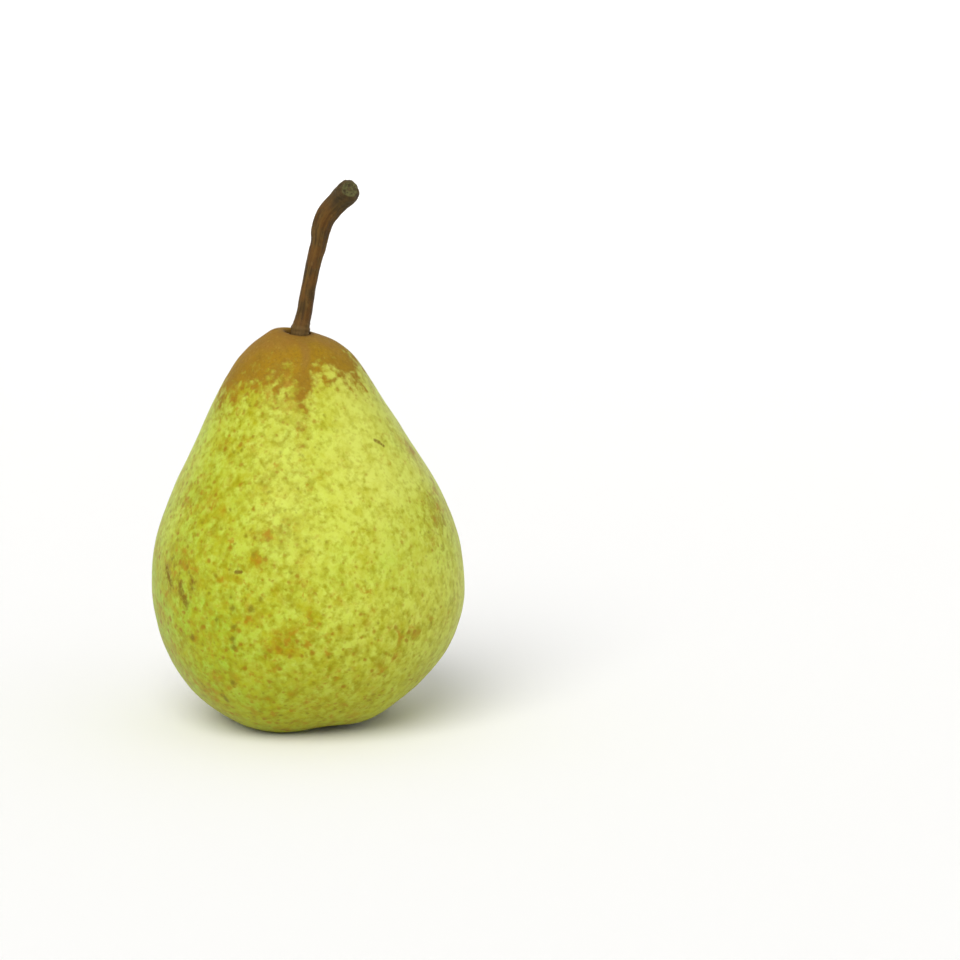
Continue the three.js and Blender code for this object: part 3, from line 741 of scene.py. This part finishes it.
def stem_material():
    s = Shade("pear_stem_bark")
    grain = s.vec("SCALE", s.attr("grain", True), scale=10.0)
    along, face, crease, angle = s.attr("along"), s.attr("face"), s.attr("crease"), s.attr("angle")
    streak = s.noise(s.vec("MULTIPLY", grain, (1.6, 1.6, 0.16)), 1.0, 4.0, 0.62)
    patch = s.noise(s.mm, 0.32, 3.0, 0.6)
    speck = s.noise(s.mm, 2.4, 3.0, 0.65)
    bark = s.mix(s.step(streak, 0.38, 0.64), srgb(64, 46, 18), srgb(96, 72, 30))
    bark = s.mix(s.step(patch, 0.44, 0.62, 0.0, 0.45), bark, srgb(108, 68, 18))
    bark = s.mix(s.step(s.add(angle, s.mul(s.sub(patch, 0.5), 1.6)), 0.2, 1.1, 0.0, 0.50), bark, srgb(104, 90, 62))
    bark = s.mix(s.step(crease, 0.1, -0.9, 0.0, 0.55), bark, srgb(58, 36, 20))
    bark = s.mix(s.step(speck, 0.56, 0.72, 0.0, 0.30), bark, srgb(122, 98, 58))
    # lenticels of the bark
    spot = s.cells(s.vec("MULTIPLY", s.mm, (1.0, 1.0, 0.62)), 0.72, "F1")
    bark = s.mix(s.step(spot, 0.24, 0.10, 0.0, 0.3), bark, srgb(124, 96, 52))
    # the old end is darker and olive, its scar paler
    bark = s.mix(s.step(s.add(along, s.mul(s.sub(patch, 0.5), 0.12)), 0.80, 0.94, 0.0, 0.62), bark, srgb(62, 54, 32))
    scar = s.mix(s.step(s.noise(s.mm, 1.5, 3.0, 0.65), 0.40, 0.62), srgb(94, 92, 54), srgb(66, 56, 34))
    scar = s.mix(s.step(face, 0.34, 0.10, 0.0, 0.6), scar, srgb(72, 52, 32))
    bark = s.mix(s.step(face, 0.93, 0.74), bark, scar)
    # green flush at the foot, and painted shade where the stem sits down in the socket
    bark = s.mix(s.step(s.add(along, s.mul(s.sub(patch, 0.5), 0.06)), 0.30, 0.20, 0.0, 0.35), bark, srgb(116, 92, 52))
    bark = s.mix(s.step(along, 0.17, 0.12, 0.0, 0.8), bark, srgb(56, 34, 18))
    height = s.add(s.mul(streak, 0.8), s.mul(speck, 0.45))
    rough = s.step(speck, 0.3, 0.8, 0.62, 0.78)
    return s.finish(bark, rough, height, 0.7, 0.00022, IOR=1.45, Specular_IOR_Level=0.20)


def dry_material(name, dark, pale, dust):
    s = Shade(name)
    big, small = s.noise(s.mm, 0.55, 3.0, 0.6), s.noise(s.mm, 2.2, 3.0, 0.65)
    tissue = s.mix(s.step(big, 0.38, 0.64), dark, pale)
    tissue = s.mix(s.step(small, 0.52, 0.72, 0.0, 0.55), tissue, dust)
    tissue = s.mix(s.step(s.attr("along"), 0.75, 1.0, 0.0, 0.5), tissue, dark)
    height = s.add(s.mul(small, 0.8), s.mul(big, 0.5))
    return s.finish(tissue, s.step(small, 0.3, 0.8, 0.70, 0.86), height, 0.6, 0.0002, IOR=1.45, Specular_IOR_Level=0.2)


# --------------------------------------------------------------- marks on skin
def mark_fields(ob):
    """Distances, in units of 10 mm, from each mark drawn on the skin. A mark
    is a chain of points in mm and a half width."""
    co = np.empty(len(ob.data.vertices) * 3, dtype=np.float32)
    ob.data.vertices.foreach_get("co", co)
    co = co.reshape(-1, 3) / MM

    def field(chains):
        best = np.full(len(co), 50.0)
        for half, *points in chains:
            p = np.array([co[np.argmin(((co - q) ** 2).sum(1))] for q in np.array(points, float)])
            if len(p) == 1:
                best = np.minimum(best, np.linalg.norm(co - p[0], axis=1) - half)
            for a, b in zip(p[:-1], p[1:]):
                d = b - a
                t = np.clip(((co - a) @ d) / max(d @ d, 1e-9), 0, 1)
                best = np.minimum(best, np.linalg.norm(co - (a + t[:, None] * d), axis=1) - half)
        return np.minimum(best, 20) * 0.1

    scars = [
        (0.85, (-29.0, -14.5, 35.8), (-28.4, -16.1, 33.9)), (0.70, (-28.4, -16.1, 33.9), (-27.9, -17.2, 32.9)),
        (0.75, (-26.3, -19.5, 33.3), (-26.0, -20.0, 31.9)), (0.85, (-26.0, -20.2, 31.7), (-24.9, -21.6, 29.9)),
        (0.55, (-23.4, -22.8, 35.0), (-23.6, -22.8, 32.6)),
    ]
    dashes = [
        (0.40, (-14.5, -28.5, 37.45), (-13.4, -29.1, 37.40)),
        (0.46, (13.5, -15.1, 61.7), (14.4, -14.7, 61.3)),
        (0.30, (14.9, -14.5, 60.7), (15.6, -14.3, 60.1)),
    ]
    ochres = [
        (2.0, (-7.7, -29.0, 44.7)), (1.5, (-10.7, -29.4, 41.0)), (2.4, (-5.5, -32.0, 24.1)),
        (3.2, (24.4, -13.4, 48.7), (26.7, -12.1, 45.7)), (1.9, (22.9, -4.4, 56.5), (17.5, -10.2, 61.7)),
        (1.3, (-3.2, -14.0, 75.1), (-1.8, -16.2, 71.4)), (1.7, (12.0, 26.0, 52.0)), (2.2, (-9.0, 30.5, 38.0)),
        (1.9, (22.0, 22.0, 34.0), (19.5, 24.0, 29.5)),
    ]
    dots = [
        (0.8, (-23.6, -22.4, 22.9)), (0.8, (-15.7, -28.5, 24.1)), (0.75, (-15.0, -28.6, 22.2)), (0.75, (-15.1, -29.0, 26.2)),
        (0.75, (-15.6, -25.3, 13.9)), (0.8, (-15.1, -29.1, 30.3)), (0.8, (-11.7, -30.7, 30.5)), (0.8, (-18.7, -27.0, 27.4)),
        (0.45, (-18.3, -21.3, 10.8), (-17.7, -21.5, 10.3), (-16.5, -21.1, 8.9)),
    ]
    return field(scars), field(ochres), field(dots), field(dashes)


# ------------------------------------------------------------- put it together
SKIN = skin_material()
BARK = stem_material()
DRY = dry_material("pear_dry_sepal", srgb(58, 44, 30), srgb(112, 92, 62), srgb(146, 130, 100))
FLUFF = dry_material("pear_dry_stamen", srgb(46, 32, 22), srgb(92, 66, 42), srgb(134, 108, 76))


def place(piece, node, material):
    piece.data.materials.append(material)
    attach(piece, "root")
    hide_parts(node)


fruit, _ = build_fruit()
scar_d, ochre_d, dot_d, dash_d = mark_fields(fruit)
add_float(fruit.data, "d_scar", scar_d)
add_float(fruit.data, "d_ochre", ochre_d)
add_float(fruit.data, "d_dot", dot_d)
add_float(fruit.data, "d_dash", dash_d)
place(fruit, "fruit", SKIN)
place(build_stem(), "stem", BARK)
for k in range(5):
    place(build_sepal(k), f"sepal_{k + 1}", DRY)
tuft = build_tuft()
place(tuft, "stamen_tuft", FLUFF)

# ------------------------------------------------------- floor, light, camera
def build_floor():
    """A round pale floor whose rim curves up into a low wall all round."""
    profile = [(0.25, 0.0), (0.7, 0.0), (1.5, 0.0)]
    for k in range(1, 17):
        a = math.pi / 2 * k / 16
        profile.append((1.5 + 0.6 * math.sin(a), 0.6 * (1 - math.cos(a))))
    profile.append((2.1, 0.75))
    sides = 72
    verts, faces = [(0.0, 0.0, -0.00002)], []
    for r, z in profile:
        for k in range(sides):
            a = 2 * math.pi * k / sides
            verts.append((r * math.cos(a), r * math.sin(a), z - 0.00002))
    for k in range(sides):
        faces.append((0, 1 + k, 1 + (k + 1) % sides))
    for i in range(len(profile) - 1):
        for k in range(sides):
            p, q = 1 + i * sides + k, 1 + i * sides + (k + 1) % sides
            faces.append((p, p + sides, q + sides, q))
    mesh = bpy.data.meshes.new("studio_floor")
    mesh.from_pydata(verts, [], faces)
    mesh.polygons.foreach_set("use_smooth", np.ones(len(mesh.polygons), bool))
    ob = bpy.data.objects.new("studio_floor", mesh)
    bpy.context.scene.collection.objects.link(ob)
    mat = bpy.data.materials.new("studio_floor_paper")
    mat.use_nodes = True
    b = mat.node_tree.nodes["Principled BSDF"]
    b.inputs["Base Color"].default_value = (0.93, 0.93, 0.93, 1)
    b.inputs["Roughness"].default_value = 0.9
    b.inputs["Specular IOR Level"].default_value = 0.1
    mesh.materials.append(mat)


def soft_sun(name, towards, strength, spread, colour=(1, 1, 1)):
    """A very broad, even light, like a large softbox far away."""
    data = bpy.data.lights.new(name, "SUN")
    data.energy = strength
    data.angle = math.radians(spread)
    data.color = colour
    ob = bpy.data.objects.new(name, data)
    ob.location = (-towards[0], -towards[1], -towards[2])
    ob.rotation_euler = Vector(towards).to_track_quat("-Z", "Y").to_euler()
    bpy.context.scene.collection.objects.link(ob)


build_floor()
soft_sun("key", (0.27, 0.72, -0.76), 2.26, 46, (1.0, 0.99, 0.96))
soft_sun("fill", (-0.60, 0.60, -0.40), 0.25, 60)

world = bpy.data.worlds.new("studio_world")
bpy.context.scene.world = world
world.use_nodes = True
world.node_tree.nodes["Background"].inputs[0].default_value = (1, 1, 1, 1)
world.node_tree.nodes["Background"].inputs[1].default_value = 0.50

camera = bpy.data.cameras.new("camera")
camera.lens = 85
camera.sensor_width = 36
camera.clip_start = 0.01
camera_ob = bpy.data.objects.new("camera", camera)
forward = Vector((0.07676, 0.98453, -0.15754)).normalized()
right = Vector((0.99697, -0.07773, 0.0)).normalized()
above = right.cross(forward)
m = Matrix((right, above, -forward)).transposed().to_4x4()
m.translation = Vector((-0.54, -472.578, 126.351)) * MM
camera_ob.matrix_world = m
bpy.context.scene.collection.objects.link(camera_ob)
bpy.context.scene.camera = camera_ob
bpy.context.scene.view_settings.view_transform = "Standard"
bpy.context.scene.view_settings.look = "None"

bpy.context.view_layer.update()
